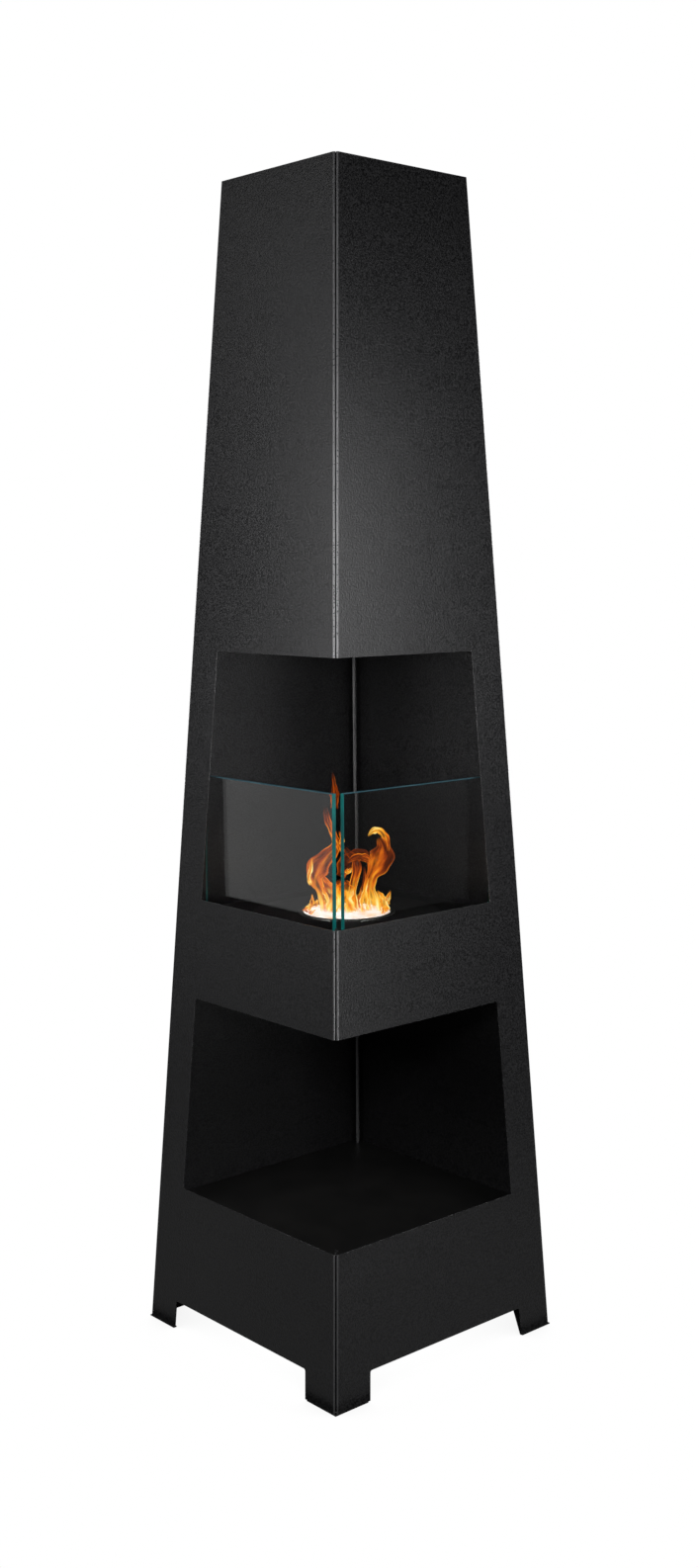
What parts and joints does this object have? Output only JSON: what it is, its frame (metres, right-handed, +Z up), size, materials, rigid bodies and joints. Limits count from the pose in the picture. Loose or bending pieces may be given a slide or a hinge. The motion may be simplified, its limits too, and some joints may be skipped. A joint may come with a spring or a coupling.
{
  "type": "outdoor tower heater",
  "caption": "Tapered square column of black folded sheet with a glazed corner fire window, a round bioethanol burner, an open storage window below and cut-out legs.",
  "frame": {"origin": "centre of the base on the ground", "axes": "+Z up; the front corner, which both windows are cut across, points to +X and -Y; the front left panel faces -Y and the front right panel faces +X"},
  "size_m": [0.5148, 0.5148, 2],
  "materials": {
    "powder_coat": "fine textured anthracite powder coat on 2 mm sheet",
    "inner_steel": "smoother black coat on inner sheet and angles, slightly sooted",
    "stainless": "brushed stainless steel with heat tint",
    "burner_black": "semi-gloss heat-proof black",
    "zinc": "zinc-plated steel fasteners",
    "glass": "clear tempered glass with pale green ground edges",
    "ceramic": "matt off-white ceramic fibre",
    "rubber": "black rubber"
  },
  "bodies": {
    "tower": {"panel_front_left": "powder_coat", "shelf_rail_front_left": "inner_steel", "floor_rail_front_left": "inner_steel", "shelf_nut_front_left": "zinc", "floor_nut_front_left": "zinc", "panel_front_right": "powder_coat", "shelf_rail_front_right": "inner_steel", "floor_rail_front_right": "inner_steel", "shelf_nut_front_right": "zinc", "floor_nut_front_right": "zinc", "panel_rear_right": "powder_coat", "shelf_rail_rear_right": "inner_steel", "floor_rail_rear_right": "inner_steel", "shelf_nut_rear_right": "zinc", "floor_nut_rear_right": "zinc", "panel_rear_left": "powder_coat", "shelf_rail_rear_left": "inner_steel", "floor_rail_rear_left": "inner_steel", "shelf_nut_rear_left": "zinc", "floor_nut_rear_left": "zinc", "seam_rivet_front_1": "zinc", "seam_rivet_front_2": "zinc", "seam_rivet_front_3": "zinc", "seam_rivet_front_4": "zinc", "foot_sole_front": "rubber", "seam_rivet_right_1": "zinc", "seam_rivet_right_2": "zinc", "seam_rivet_right_3": "zinc", "seam_rivet_right_4": "zinc", "foot_sole_right": "rubber", "seam_rivet_rear_1": "zinc", "seam_rivet_rear_2": "zinc", "seam_rivet_rear_3": "zinc", "seam_rivet_rear_4": "zinc", "foot_sole_rear": "rubber", "seam_rivet_left_1": "zinc", "seam_rivet_left_2": "zinc", "seam_rivet_left_3": "zinc", "seam_rivet_left_4": "zinc", "foot_sole_left": "rubber", "burner_shelf": "inner_steel", "storage_floor": "inner_steel", "glass_clip_left_1": "stainless", "glass_clip_left_2": "stainless", "glass_clip_right_1": "stainless", "glass_clip_right_2": "stainless"},
    "cover": {"burner_cover": "burner_black"},
    "burner": {"burner_can": "stainless", "ceramic_filler": "ceramic"},
    "left_pane": {"glass_pane_left": "glass"},
    "right_pane": {"glass_pane_right": "glass"}
  },
  "joints": [
    {"name": "cover_lift", "type": "slide", "parent": "tower", "child": "cover", "axis": [0, 0, 1], "range_m": [0, 0.12]},
    {"name": "burner_lift", "type": "slide", "parent": "cover", "child": "burner", "axis": [0, 0, 1], "range_m": [0, 0.1]},
    {"name": "left_pane_lift", "type": "slide", "parent": "tower", "child": "left_pane", "axis": [0, 0, 1], "range_m": [0, 0.05]},
    {"name": "right_pane_lift", "type": "slide", "parent": "tower", "child": "right_pane", "axis": [0, 0, 1], "range_m": [0, 0.05]}
  ]
}
